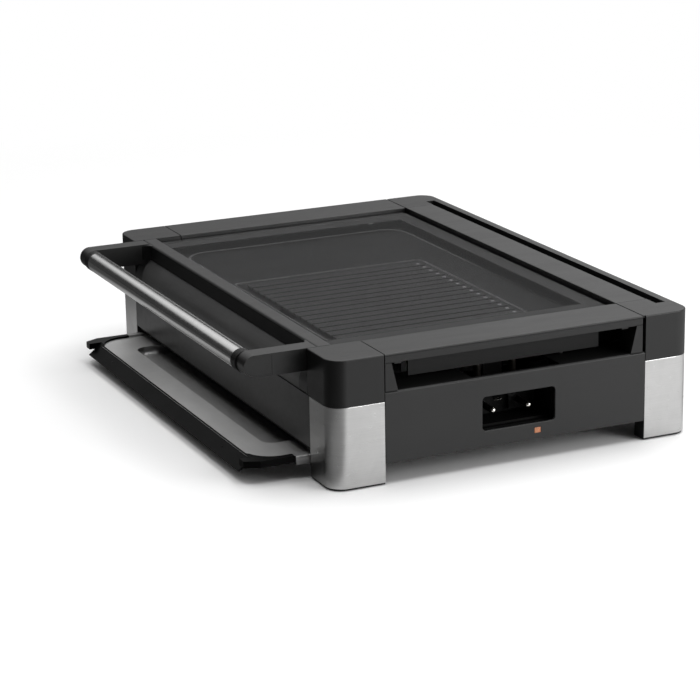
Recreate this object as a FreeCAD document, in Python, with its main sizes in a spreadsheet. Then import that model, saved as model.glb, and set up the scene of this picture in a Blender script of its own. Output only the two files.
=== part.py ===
import FreeCAD, Part
import math
import os

# Electric table grill: lift-off glass lid with a bar handle, lift-off grill
# plate with two side grips, pull-out drip tray, tub housing on four corner legs.
# Frame: +Z up, +X towards the side with the inlet, -Y towards the lid handle and
# the drip tray. Pieces are drawn about the middle of the body; at the end all are
# set over together, so that the origin lies on the table in the middle of the
# whole outline.
# Every length is in millimetres.

V = FreeCAD.Vector
doc = FreeCAD.newDocument("TableGrill")
sheet = doc.addObject("Spreadsheet::Sheet", "Sizes")

CELLS = [
    # overall
    ("overall_width", 546.0), ("overall_depth", 367.0), ("overall_height", 120.5),
    ("corner_radius", 16.0), ("edge_round", 1.2), ("joint_gap", 0.7),
    # corner blocks and legs
    ("block_inner_x", 222.9), ("block_front_y", 131.8), ("block_rear_y", 134.3),
    ("block_bottom", 77.3), ("block_wall", 3.0), ("block_roof", 4.0),
    ("leg_inner_x", 226.0), ("leg_front_y", 131.6), ("leg_rear_y", 134.1),
    ("leg_thick", 17.0), ("leg_base", 0.5), ("sleeve_thick", 1.0), ("sleeve_base", 2.2),
    ("pad_height", 2.6), ("pad_width", 11.0), ("pad_length", 30.0),
    ("boss_inset", 11.0), ("boss_radius", 6.0), ("screw_radius", 2.0),
    # panels
    ("panel_bottom", 19.3), ("panel_top", 86.0), ("panel_thick", 2.8),
    ("front_panel_bottom", 29.0), ("front_panel_top", 77.0), ("front_sheet", 1.0),
    ("strip_top", 104.0), ("strip_shoulder", 92.0), ("strip_slope", 0.825), ("strip_groove", 1.7), ("strip_groove_depth", 1.0),
    ("lip_inner_x", 240.8), ("slot_near_y", 164.8), ("slot_far_y", 174.8),
    ("slot_floor", 100.0), ("rear_bar_y", 131.9),
    # housing
    ("tub_floor", 24.5), ("tub_wall", 2.5), ("tub_top", 84.0),
    ("cover_top", 85.6), ("cover_inner_x", 222.6), ("cover_wall_y", 92.0), ("cover_wall_top", 110.0),
    # inlet window in the side panel
    ("window_low_y", 34.8), ("window_high_y", 39.4), ("window_bottom", 35.1),
    ("window_top", 66.9), ("window_radius", 3.5), ("inlet_centre_y", 2.3),
    ("pin_height", 47.5), ("pin_spacing", 36.4), ("pin_radius", 3.0), ("pin_tip_x", 259.0),
    ("lens_y", 21.5), ("lens_z", 27.7), ("lens_width", 6.4), ("lens_height", 5.2),
    # grill plate
    ("plate_half_x", 218.0), ("plate_front_y", 157.0), ("plate_rear_y", 127.5),
    ("plate_bottom", 99.5), ("plate_rim", 105.2), ("plate_deck", 104.7),
    ("deck_low_x", 190.0), ("deck_high_x", 184.0), ("deck_front_y", 142.0),
    ("deck_rear_y", 105.0), ("deck_corner", 25.0),
    ("ribbed_low_x", 58.4), ("ribbed_high_x", 181.0), ("ribbed_front_y", 139.0), ("ribbed_rear_y", 67.0),
    ("groove_floor", 104.0), ("rib_top", 107.0), ("rib_first_x", 33.1),
    ("rib_pitch", 14.6), ("rib_width", 9.0), ("rib_rear_y", 56.0), ("rib_front_y", 131.0),
    ("rib_draft", 30.0), ("rib_number", 15),
    ("heater_radius", 3.25), ("heater_height", 96.2), ("heater_bend", 15.0),
    # side grips
    ("grip_inner_x", 223.3), ("grip_half_y", 130.8), ("rail_bottom", 111.8),
    ("grip_bottom", 86.3), ("leg_slant_top", 124.6), ("leg_slant_bottom", 118.6),
    ("grip_wall_x", 250.0), ("grip_wall_y", 97.5), ("grip_wall_bottom", 90.5),
    # lid
    ("glass_half_x", 221.4), ("glass_rear_y", 129.3), ("glass_top", 116.7),
    ("glass_thick", 4.0), ("bar_front_y", 174.0), ("bar_rear_y", 159.4),
    ("bar_bottom", 104.6), ("bar_half_x", 222.2), ("bar_round", 3.0),
    ("arm_thick", 18.2), ("arm_bottom", 99.9), ("arm_tip_y", 243.4),
    ("cap_rear_y", 216.5), ("cap_depth", 2.0), ("cap_inset", 1.1),
    ("tube_radius", 10.0), ("tube_wall", 1.2), ("tube_y", 234.6), ("tube_z", 110.2),
    ("tube_half", 194.0), ("ring_radius", 10.2), ("corner_web", 8.0),
    # drip tray
    ("tray_half_x", 224.0), ("tray_front_y", 231.6), ("tray_rear_y", 100.0),
    ("tray_rim", 20.0), ("tray_sheet", 1.0), ("tray_skirt", 14.0),
    ("bead_top", 22.0), ("bead_width", 9.0), ("basin_half_x", 174.0),
    ("basin_front_y", 205.5), ("basin_rear_y", 80.0), ("basin_depth", 8.0),
    ("basin_draft", 30.0), ("basin_corner", 12.0),
    ("trim_end_y", 196.5), ("trim_half_x", 221.4), ("trim_inner_x", 214.6),
    ("trim_front_y", 243.6), ("trim_bottom", 15.8), ("trim_corner", 26.0),
    ("trim_bevel_x", 214.7), ("trim_bevel_y", 229.8), ("trim_ledge", 21.0),
    ("lip_front_y", 244.8), ("lip_edge", 10.6), ("lip_half_x", 205.0),
]
VALUES = {}
for row, (alias, number) in enumerate(CELLS, 1):
    sheet.set("A%d" % row, alias)
    sheet.set("B%d" % row, str(number))
    sheet.setAlias("B%d" % row, alias)
    VALUES[alias] = float(number)
doc.recompute()


class Q:
    """A length with its value and the sheet expression that gives it."""

    def __init__(self, v, e):
        self.v = float(v)
        self.e = e

    def __add__(self, o):
        o = q(o)
        return Q(self.v + o.v, "(%s + %s)" % (self.e, o.e))

    __radd__ = __add__

    def __sub__(self, o):
        o = q(o)
        return Q(self.v - o.v, "(%s - %s)" % (self.e, o.e))

    def __rsub__(self, o):
        o = q(o)
        return Q(o.v - self.v, "(%s - %s)" % (o.e, self.e))

    def __mul__(self, o):
        o = q(o)
        return Q(self.v * o.v, "(%s * %s)" % (self.e, o.e))

    __rmul__ = __mul__

    def __truediv__(self, o):
        o = q(o)
        return Q(self.v / o.v, "(%s / %s)" % (self.e, o.e))

    def __neg__(self):
        return Q(-self.v, "(0 - %s)" % self.e)


def q(x):
    if isinstance(x, Q):
        return x
    x = float(x)
    return Q(x, repr(x) if x >= 0 else "(0 - %r)" % (-x))


class Sizes:
    def __getattr__(self, name):
        return Q(VALUES[name], "Sizes." + name)


S = Sizes()
NODES = []      # (node name, document object)
PLANE = {"XY": "XY_Plane", "XZ": "XZ_Plane", "YZ": "YZ_Plane"}


def keep(obj, name):
    obj.Label = name
    NODES.append((name, obj))
    return obj


def body(name):
    b = doc.addObject("PartDesign::Body", "Body_" + name)
    b.Placement = FreeCAD.Placement()
    return keep(b, name)


def plane_of(b, key):
    for f in b.Origin.OriginFeatures:
        if f.Role == PLANE[key]:
            return f


def new_sketch(b, key, offset):
    sk = b.newObject("Sketcher::SketchObject", "Sketch")
    sk.AttachmentSupport = [(plane_of(b, key), "")]
    sk.MapMode = "FlatFace"
    offset = q(offset)
    sk.AttachmentOffset = FreeCAD.Placement(V(0, 0, offset.v), FreeCAD.Rotation())
    sk.setExpression("AttachmentOffset.Base.z", offset.e)
    return sk


def lock(sk, geo, end, x, y):
    """Fix a point of the sketch at the two bound sizes."""
    import Sketcher
    for kind, val in (("DistanceX", q(x)), ("DistanceY", q(y))):
        if abs(val.v) < 1e-9:
            axis = -2 if kind == "DistanceX" else -1
            sk.addConstraint(Sketcher.Constraint("PointOnObject", geo, end, axis))
        else:
            i = sk.addConstraint(Sketcher.Constraint(kind, -1, 1, geo, end, val.v))
            sk.setExpression("Constraints[%d]" % i, val.e)


def polygon(sk, pts):
    import Sketcher
    pts = [(q(a), q(c)) for a, c in pts]
    n = len(pts)
    first = sk.GeometryCount
    for i in range(n):
        a, c = pts[i], pts[(i + 1) % n]
        sk.addGeometry(Part.LineSegment(V(a[0].v, a[1].v, 0), V(c[0].v, c[1].v, 0)), False)
    for i in range(n):
        sk.addConstraint(Sketcher.Constraint("Coincident", first + i, 2,
                                             first + (i + 1) % n, 1))
    for i in range(n):
        lock(sk, first + i, 1, *pts[i])


def rect(x0, x1, y0, y1):
    return [(x0, y0), (x1, y0), (x1, y1), (x0, y1)]


def circle(sk, x, y, r):
    import Sketcher
    x, y, r = q(x), q(y), q(r)
    g = sk.addGeometry(Part.Circle(V(x.v, y.v, 0), V(0, 0, 1), r.v), False)
    lock(sk, g, 3, x, y)
    i = sk.addConstraint(Sketcher.Constraint("Radius", g, r.v))
    sk.setExpression("Constraints[%d]" % i, r.e)


def span(key, low, high, cut):
    """Sketch offset and length so that the feature fills low..high."""
    low, high = q(low), q(high)
    if key == "XZ":
        return (-low if cut else -high), high - low
    return (high if cut else low), high - low


def feature(b, kind, key, loops, low, high, taper=None):
    cut = kind == "PartDesign::Pocket"
    offset, length = span(key, low, high, cut)
    sk = new_sketch(b, key, offset)
    for loop in loops:
        if loop[0] == "circle":
            circle(sk, *loop[1:])
        else:
            polygon(sk, loop)
    doc.recompute()
    before = b.Shape.Volume if (cut or b.Tip) and not b.Shape.isNull() else 0.0
    f = b.newObject(kind, "Pocket" if cut else "Pad")
    f.Profile = sk
    f.Type = 0
    f.Length = length.v
    f.setExpression("Length", length.e)
    if taper is not None:
        taper = q(taper)
        f.TaperAngle = taper.v
        f.setExpression("TaperAngle", taper.e)
    b.Tip = f
    doc.recompute()
    change = b.Shape.Volume - before
    if cut and change > -1e-3:
        raise SystemExit("cut took nothing: %s %s %.2f %.2f" % (b.Label, sk.Name, q(low).v, q(high).v))
    if not cut and change < 1e-3:
        raise SystemExit("pad added nothing: %s %s %.2f %.2f" % (b.Label, sk.Name, q(low).v, q(high).v))
    return f


def pad(b, key, pts, low, high, taper=None):
    return feature(b, "PartDesign::Pad", key, [pts], low, high, taper)


def pocket(b, key, pts, low, high, taper=None):
    return feature(b, "PartDesign::Pocket", key, [pts], low, high, taper)


def middle(e):
    p = 0.5 * (e.FirstParameter + e.LastParameter)
    return e.valueAt(p)


def line_along(e, axis):
    if e.Curve.TypeId != "Part::GeomLine":
        return False
    d = e.Vertexes[-1].Point - e.Vertexes[0].Point
    other = [abs(d.x), abs(d.y), abs(d.z)]
    return other.pop(axis) > 1e-6 and max(other) < 1e-4


def dress(b, kind, test, size):
    base = b.Tip
    names = ["Edge%d" % (i + 1) for i, e in enumerate(base.Shape.Edges) if test(e)]
    if not names:
        raise SystemExit("no edge found on %s after %s" % (b.Label, base.Name))
    f = b.newObject("PartDesign::" + kind, kind)
    f.Base = (base, names)
    size = q(size)
    prop = "Radius" if kind == "Fillet" else "Size"
    setattr(f, prop, size.v)
    f.setExpression(prop, size.e)
    b.Tip = f
    doc.recompute()
    if f.State and ("Invalid" in f.State or "Error" in f.State):
        raise SystemExit("%s failed on %s: %s" % (kind, b.Label, names))
    return f


def near(a, c, tol=0.02):
    return abs(a - q(c).v) < tol


def upright_at(x, y):
    return lambda e: line_along(e, 2) and near(middle(e).x, x) and near(middle(e).y, y)


def prim(kind, name, **sizes):
    o = doc.addObject(kind, name)
    for prop, val in sizes.items():
        val = q(val)
        setattr(o, prop, val.v)
        o.setExpression(prop, val.e)
    return o


def place(o, x, y, z, direction=None):
    x, y, z = q(x), q(y), q(z)
    rot = FreeCAD.Rotation()
    if direction is not None:
        rot = FreeCAD.Rotation(V(0, 0, 1), V(*direction))
    o.Placement = FreeCAD.Placement(V(x.v, y.v, z.v), rot)
    for axis, val in (("x", x), ("y", y), ("z", z)):
        o.setExpression("Placement.Base." + axis, val.e)
    return o


def cylinder(name, r, length, x, y, z, direction=None):
    return place(prim("Part::Cylinder", name, Radius=r, Height=length), x, y, z, direction)


def box(name, x0, x1, y0, y1, z0, z1):
    o = prim("Part::Box", name, Length=q(x1) - q(x0), Width=q(y1) - q(y0),
             Height=q(z1) - q(z0))
    return place(o, x0, y0, z0)


def fuse(name, parts):
    o = doc.addObject("Part::MultiFuse", "Fuse_" + name)
    o.Shapes = parts
    doc.recompute()
    return keep(o, name)


W = S.overall_width / 2
D = S.overall_depth / 2
H = S.overall_height
SIDES = (("right", 1), ("left", -1))
ENDS = (("front", -1), ("rear", 1))

# ---------------------------------------------------------------- corners
# Corner blocks: hollow plastic caps with a screw boss, rounded outer corner.
for end, sy in ENDS:
    for side, sx in SIDES:
        b = body("corner_block_%s_%s" % (end, side))
        bi = S.block_inner_x * sx
        if end == "front":
            pts = rect(bi, W * sx, -D, -S.block_front_y)
        else:
            pts = [(bi, S.block_rear_y), (W * sx, S.block_rear_y), (W * sx, D),
                   (S.lip_inner_x * sx, D), (S.lip_inner_x * sx, S.slot_far_y),
                   (bi, S.slot_far_y)]
        pad(b, "XY", pts, S.block_bottom, H)
        wall = S.block_wall
        inner_y = (-S.block_front_y - wall) if end == "front" else (S.block_rear_y + wall)
        if end == "front":
            cav = rect(bi + wall * sx, (W - wall) * sx, -D + wall, inner_y)
        else:
            cav = [(bi + wall * sx, inner_y), ((W - wall) * sx, inner_y),
                   ((W - wall) * sx, D - wall), ((S.lip_inner_x + wall) * sx, D - wall),
                   ((S.lip_inner_x + wall) * sx, S.slot_near_y - wall),
                   (bi + wall * sx, S.slot_near_y - wall)]
        pocket(b, "XY", cav, S.block_bottom - 1, H - S.block_roof)
        dress(b, "Fillet", upright_at(W * sx, D * sy), S.corner_radius)
        dress(b, "Fillet", upright_at((W - wall) * sx, (D - wall) * sy),
              S.corner_radius - wall)
        if end == "rear":
            # notch that continues the lid-stand slot, and a thin top lip
            # that closes the joint to the side grip from above
            pocket(b, "XY", rect(bi - 1 * sx, (S.lip_inner_x - 0.8) * sx,
                                 S.slot_near_y, S.slot_far_y + 1), S.slot_floor, H + 1)
            pad(b, "XY", rect(bi, (W - 1.6) * sx, S.block_rear_y - 2.2,
                              S.block_rear_y + 0.5), H - 2.2, H)
        top = H.v
        dress(b, "Fillet",
              lambda e: near(middle(e).z, top) and max(v.Z for v in e.Vertexes) > top - 0.01
              and min(v.Z for v in e.Vertexes) > top - 0.01
              and (abs(abs(middle(e).x) - W.v) < 8.01 or abs(abs(middle(e).y) - D.v) < 6.01)
              and not line_along(e, 0) * (abs(abs(middle(e).y) - D.v) > 0.05)
              and not line_along(e, 1) * (abs(abs(middle(e).x) - W.v) > 0.05),
              S.edge_round)
        bx = (W - S.boss_inset) * sx
        by = (D - S.boss_inset) * sy
        feature(b, "PartDesign::Pad", "XY", [("circle", bx, by, S.boss_radius)],
                S.block_bottom + 0.2, H - S.block_roof + 0.5)
        feature(b, "PartDesign::Pocket", "XY", [("circle", bx, by, S.screw_radius + 0.05)],
                S.block_bottom, S.block_bottom + 24)

# Legs: L-section plastic cores, rounded outside, open towards the middle.
for end, sy in ENDS:
    for side, sx in SIDES:
        b = body("leg_core_%s_%s" % (end, side))
        g = S.sleeve_thick + 0.05
        ly = (S.leg_front_y if end == "front" else S.leg_rear_y) * sy
        pts = [(S.leg_inner_x * sx, (D - g) * sy), ((W - g) * sx, (D - g) * sy),
               ((W - g) * sx, ly), ((W - S.leg_thick) * sx, ly),
               ((W - S.leg_thick) * sx, (D - S.leg_thick) * sy),
               (S.leg_inner_x * sx, (D - S.leg_thick) * sy)]
        pad(b, "XY", pts, S.leg_base, S.block_bottom)
        dress(b, "Fillet", upright_at((W - g) * sx, (D - g) * sy), S.corner_radius - g)
        bx = (W - S.boss_inset) * sx
        by = (D - S.boss_inset) * sy
        feature(b, "PartDesign::Pocket", "XY", [("circle", bx, by, S.screw_radius + 0.1)],
                S.leg_base - 1, S.block_bottom + 1)
        feature(b, "PartDesign::Pocket", "XY", [("circle", bx, by, S.screw_radius + 2.4)],
                S.leg_base - 1, 70.0)
        # pocket under the foot for the anti-slip pad
        x0 = S.leg_inner_x * sx + 2.4 * sx
        y0 = (D - 3.0) * sy
        pocket(b, "XY", rect(x0, x0 + (S.pad_length - 6) * sx, y0 - S.pad_width * sy, y0),
               S.leg_base - 1, S.pad_height + 0.05)

# Legs' outer skins: bent sheet wrapped round the outer corner.
for end, sy in ENDS:
    for side, sx in SIDES:
        b = body("leg_sleeve_%s_%s" % (end, side))
        ly = (S.leg_front_y if end == "front" else S.leg_rear_y) * sy
        st = S.sleeve_thick
        pts = [(S.leg_inner_x * sx, D * sy), (W * sx, D * sy), (W * sx, ly),
               ((W - st) * sx, ly), ((W - st) * sx, (D - st) * sy),
               (S.leg_inner_x * sx, (D - st) * sy)]
        pad(b, "XY", pts, S.sleeve_base, S.block_bottom - 0.2)
        dress(b, "Fillet", upright_at(W * sx, D * sy), S.corner_radius)
        dress(b, "Fillet", upright_at((W - st) * sx, (D - st) * sy), S.corner_radius - st)

pads = []
screws = []
for end, sy in ENDS:
    for side, sx in SIDES:
        x0 = (S.leg_inner_x + 2.5) * sx
        x1 = x0 + (S.pad_length - 6.2) * sx
        y0 = (D - 3.1) * sy
        y1 = y0 - (S.pad_width - 0.2) * sy
        xs = (x0, x1) if sx > 0 else (x1, x0)
        ys = (y1, y0) if sy > 0 else (y0, y1)
        pads.append(box("pad_%s_%s" % (end, side), xs[0], xs[1], ys[0], ys[1],
                        0.0, S.pad_height))
        bx = (W - S.boss_inset) * sx
        by = (D - S.boss_inset) * sy
        head = cylinder("leg_head_%s_%s" % (end, side), S.screw_radius + 2.2, 3.8, bx, by, 66.2)
        shaft = cylinder("leg_shaft_%s_%s" % (end, side), S.screw_radius, 28.0, bx, by, 68.0)
        screws += [head, shaft]
fuse("foot_pads", pads)
fuse("leg_screws", screws)

# ---------------------------------------------------------------- panels
b = body("side_panel_right")
prof = [(W - 14, S.panel_bottom), (W, S.panel_bottom), (W, S.panel_top),
        (W - S.panel_thick, S.panel_top), (W - S.panel_thick, S.panel_bottom + 2.5),
        (W - 14, S.panel_bottom + 2.5)]
pad(b, "XZ", prof, -S.block_front_y + 0.5, S.block_rear_y - 0.5)
dress(b, "Chamfer", lambda e: line_along(e, 1) and near(middle(e).x, W)
      and near(middle(e).z, S.panel_top), 1.3)
pocket(b, "YZ", rect(-S.window_low_y, S.window_high_y, S.window_bottom, S.window_top),
       W - 5, W + 1)
dress(b, "Fillet", lambda e: line_along(e, 0) and
      (near(middle(e).y, -S.window_low_y) or near(middle(e).y, S.window_high_y)) and
      (near(middle(e).z, S.window_bottom) or near(middle(e).z, S.window_top)),
      S.window_radius)
dress(b, "Fillet", lambda e: near(middle(e).x, W) and
      S.window_bottom.v - 0.1 < middle(e).z < S.window_top.v + 0.1 and
      -S.window_low_y.v - 0.1 < middle(e).y < S.window_high_y.v + 0.1, 0.7)
pocket(b, "YZ", rect(S.lens_y - S.lens_width / 2 - 0.1, S.lens_y + S.lens_width / 2 + 0.1,
                     S.lens_z - S.lens_height / 2 - 0.1, S.lens_z + S.lens_height / 2 + 0.1),
       W - 5, W + 1)

b = body("side_panel_left")
prof = [(14 - W, S.panel_bottom), (-W, S.panel_bottom), (-W, S.panel_top),
        (S.panel_thick - W, S.panel_top), (S.panel_thick - W, S.panel_bottom + 2.5),
        (14 - W, S.panel_bottom + 2.5)]
pad(b, "XZ", prof, -S.block_front_y + 0.5, S.block_rear_y - 0.5)
dress(b, "Chamfer", lambda e: line_along(e, 1) and near(middle(e).x, -W)
      and near(middle(e).z, S.panel_top), 1.3)

# Upper front strip: a wall with a top ledge and a shadow groove along its lower
# edge. Beside it, under each handle arm, a lower end piece that the arm passes over.
gy = -D + S.strip_groove_depth
gz = S.block_bottom + S.strip_groove
sx0 = S.block_inner_x - 0.4
sx1 = S.bar_half_x - S.arm_thick - 0.6


def strip_profile(top):
    lean = (top - S.strip_shoulder) * S.strip_slope
    back = (top - 3.0 - S.strip_shoulder) * S.strip_slope + 3.2
    return [(gy, S.block_bottom), (gy, gz), (-D, gz), (-D, S.strip_shoulder), (-D + lean, top),
            (-D + 20.5, top), (-D + 20.5, top - 3), (-D + back, top - 3),
            (-D + 3.2, S.strip_shoulder - 2.0), (-D + 3.2, S.block_bottom)]


def soft_shoulder(b, top, small):
    dress(b, "Fillet", lambda e: line_along(e, 0) and near(middle(e).y, -D)
          and near(middle(e).z, S.strip_shoulder), 25.0)
    lean = (top - S.strip_shoulder) * S.strip_slope
    dress(b, "Fillet", lambda e: line_along(e, 0) and near(middle(e).y, -D + lean)
          and near(middle(e).z, top), small)


b = body("front_strip")
pad(b, "YZ", strip_profile(S.strip_top), -sx1, sx1)
soft_shoulder(b, S.strip_top, 0.8)
for side, sx in SIDES:
    b = body("strip_end_%s" % side)
    lo, hi = (sx1 * sx, sx0 * sx)
    if sx < 0:
        lo, hi = hi, lo
    pad(b, "YZ", strip_profile(S.arm_bottom - 0.6), lo, hi)
    soft_shoulder(b, S.arm_bottom - 0.6, 0.5)

b = body("front_panel")
fb = S.front_panel_bottom
ft = S.front_panel_top
prof = [(-D, fb), (-D, ft), (-D + S.front_sheet, ft), (-D + S.front_sheet, fb + 1.0),
        (-D + 3.0, fb + 1.0), (-D + 3.0, fb)]
pad(b, "YZ", prof, -(S.leg_inner_x - 0.3), S.leg_inner_x - 0.3)

b = body("rear_panel")
pad(b, "XY", rect(-(S.leg_inner_x - 0.3), S.leg_inner_x - 0.3, D - 2.8, D),
    S.panel_bottom, S.block_bottom + 0.2)
prof = [(D - 2.8, S.block_bottom + 0.1), (D, S.block_bottom + 0.1), (D, H),
        (S.slot_far_y, H), (S.slot_far_y, S.slot_floor - 3), (S.slot_far_y + 2.5, S.slot_floor - 3),
        (S.slot_far_y + 2.5, H - 3), (D - 2.8, H - 3)]
pad(b, "YZ", prof, -(S.lip_inner_x - 0.3), S.lip_inner_x - 0.3)
dress(b, "Fillet", lambda e: line_along(e, 0) and near(middle(e).z, H) and
      near(middle(e).y, D), S.edge_round)

b = body("rear_bar")
ry = S.rear_bar_y
sn = S.slot_near_y
prof = [(ry, S.slot_floor), (ry, H), (sn, H), (sn, S.slot_floor),
        (S.slot_far_y - 0.3, S.slot_floor), (S.slot_far_y - 0.3, S.slot_floor - 3),
        (sn - 3, S.slot_floor - 3), (sn - 3, H - 3.5), (ry + 3, H - 3.5),
        (ry + 3, S.slot_floor)]
pad(b, "YZ", prof, -sx0, sx0)
dress(b, "Fillet", lambda e: line_along(e, 0) and near(middle(e).z, H), 0.8)

# ---------------------------------------------------------------- housing
b = body("housing_tub")
xi = S.block_inner_x - 1.0
xo = W - S.panel_thick - 0.5
yf = -S.leg_front_y + 0.3
yr = S.leg_rear_y - 0.4
yo = D - 3.3


def plus(inset):
    a, c = xi - inset, xo - inset
    return [(-c, yf + inset), (-a, yf + inset), (-a, -(yo - inset)), (a, -(yo - inset)),
            (a, yf + inset), (c, yf + inset), (c, yr - inset), (a, yr - inset),
            (a, yo - inset), (-a, yo - inset), (-a, yr - inset), (-c, yr - inset)]


pad(b, "XY", plus(q(0.0)), S.tub_floor, S.tub_top)
pocket(b, "XY", plus(S.tub_wall), S.tub_floor + S.tub_wall, S.tub_top + 1)
pocket(b, "XY", rect(-70, 70, -60, 40), S.tub_floor - 1, S.tub_floor + S.tub_wall + 1)
pocket(b, "YZ", rect(-42, 46, S.tub_floor - 1, 72), xo - 6, xo + 1)
for px, py in ((203, -145), (203, 115), (-203, -145), (-203, 115)):
    feature(b, "PartDesign::Pad", "XY", [("circle", px, py, 6.0)],
            S.tub_floor + S.tub_wall - 0.5, S.plate_bottom - 0.15)
for px in (-150, 150):
    feature(b, "PartDesign::Pad", "XY", [("circle", px, 148, 6.0)],
            S.tub_floor + S.tub_wall - 0.5, H - 3.6)
    for py in (-120, 75):
        feature(b, "PartDesign::Pad", "XY", [("circle", px, py, 5.0)],
                S.tub_floor + S.tub_wall - 0.5, 61.9)
pad(b, "XY", rect(-196, 196, -yo, -yo + 2.5), S.tub_top - 1, S.strip_shoulder - 2.6)

# Wiring covers: a dark shelf under each side grip, with a short wall at both ends
# of its inner edge. The right one is open where the terminals hang through it, and
# has a hole for the switch's plunger.
for side, sx in SIDES:
    b = body("wiring_cover_%s" % side)
    ci = S.cover_inner_x
    pad(b, "XY", rect(ci * sx, (xo - 0.3) * sx, yf + 0.3, yr - 0.3), S.tub_top + 0.05,
        S.cover_top)
    for sgn in (-1, 1):
        pad(b, "XY", rect(ci * sx, (ci + 2.2) * sx, S.cover_wall_y * sgn, 131.0 * sgn),
            S.tub_top + 0.05, S.cover_wall_top)
    if sx > 0:
        pocket(b, "XY", rect(ci - 1, 266.5, -42.5, 47.0), S.tub_top - 1, S.cover_top + 1)
        feature(b, "PartDesign::Pocket", "XY", [("circle", 236, 65, 3.2)], S.tub_top - 1,
                S.cover_top + 1)

# Heat reflector: dished sheet that drains to a short spout over the tray.
b = body("heat_reflector")
pad(b, "XY", rect(-183, 183, -151, 101), 89.0, 90.0)
pad(b, "XY", rect(-181, 181, -149, 99), 62.0, 89.0)
pocket(b, "XY", rect(-180, 180, -148, 98), 63.0, 91.0)
feature(b, "PartDesign::Pad", "XY", [("circle", 0, -10, 23.0)], 40.0, 63.0)
feature(b, "PartDesign::Pocket", "XY", [("circle", 0, -10, 22.0)], 39.0, 64.0)
dress(b, "Fillet", lambda e: line_along(e, 2) and near(abs(middle(e).x), 181), 12.0)
dress(b, "Fillet", lambda e: line_along(e, 2) and near(abs(middle(e).x), 180), 11.0)

for side, sx in SIDES:
    b = body("tray_guide_%s" % side)
    gx = S.tray_half_x + 0.9
    prof = [((gx - 8.9) * sx, S.bead_top + 0.4), (gx * sx, S.bead_top + 0.4),
            (gx * sx, S.tray_skirt - 0.1), ((gx - 5.9) * sx, S.tray_skirt - 0.1),
            ((gx - 5.9) * sx, S.tray_skirt - 1.6), ((gx + 1.0) * sx, S.tray_skirt - 1.6),
            ((gx + 1.0) * sx, S.tub_floor), ((gx - 8.9) * sx, S.tub_floor)]
    pad(b, "XZ", prof, -165, 165)

b = body("indicator_lens")
pad(b, "YZ", rect(S.lens_y - S.lens_width / 2, S.lens_y + S.lens_width / 2,
                  S.lens_z - S.lens_height / 2, S.lens_z + S.lens_height / 2), W - 4.5, W - 0.1)
dress(b, "Fillet", lambda e: near(middle(e).x, W - 0.1), 0.5)

fuse("indicator_board", [box("board", 244, 262, 12, 31, 27.0, 28.6),
                         box("lamp", 257, 265, 19, 24, 28.4, 31.2)])
fuse("plate_switch", [box("switch_case", 230, 242, 56, 74, 67.0, 81.0),
                      box("switch_post", 228, 244, 60, 70, 27.0, 68.0),
                      cylinder("switch_plunger", 2.4, 16.2, 236, 65, 80.0)])

# ---------------------------------------------------------------- grill plate
b = body("grill_plate")
px = S.plate_half_x
pad(b, "XY", rect(-px, px, -S.plate_front_y, S.plate_rear_y), S.plate_bottom, S.plate_rim)
dress(b, "Fillet", lambda e: line_along(e, 2), 12.0)
pocket(b, "XY", rect(-S.deck_low_x, S.deck_high_x, -S.deck_front_y, S.deck_rear_y),
       S.plate_deck, S.plate_rim + 1)
pocket(b, "XY", rect(-S.ribbed_low_x, S.ribbed_high_x, -S.ribbed_front_y,
                     S.ribbed_rear_y), S.groove_floor, S.plate_deck + 1)
dress(b, "Fillet", upright_at(S.ribbed_high_x, -S.ribbed_front_y), S.deck_corner - 3)
dress(b, "Fillet", lambda e: line_along(e, 2) and middle(e).z < S.plate_deck.v and
      (near(middle(e).x, -S.ribbed_low_x) or upright_at(S.ribbed_high_x, S.ribbed_rear_y)(e)),
      7.0)
dress(b, "Fillet", lambda e: line_along(e, 2) and middle(e).z > S.plate_deck.v and
      (near(middle(e).x, -S.deck_low_x) or near(middle(e).x, S.deck_high_x)),
      S.deck_corner)
for side, sx in SIDES:
    for yc in (-65, 65):
        feature(b, "PartDesign::Pad", "XY",
                [rect((px - 1) * sx, 246 * sx, yc - 10, yc + 10), ("circle", 236 * sx, yc, 2.2)],
                S.plate_bottom, 104.5)
pocket(b, "XY", rect(50, 84, -S.ribbed_front_y + 1, -S.ribbed_front_y + 7),
       S.plate_bottom - 1, S.plate_deck + 1)
rx = -S.rib_first_x
rib = pad(b, "XY", rect(rx - S.rib_width / 2, rx + S.rib_width / 2, -S.rib_front_y,
                        S.rib_rear_y), S.groove_floor - 0.01, S.rib_top, S.rib_draft)
row = b.newObject("PartDesign::LinearPattern", "RibPattern")
row.Originals = [rib]
row.Direction = (rib.Profile[0], ["H_Axis"])
row.Length = (S.rib_pitch * (S.rib_number - 1)).v
row.setExpression("Length", (S.rib_pitch * (S.rib_number - 1)).e)
row.Occurrences = 15
b.Tip = row
doc.recompute()

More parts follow.
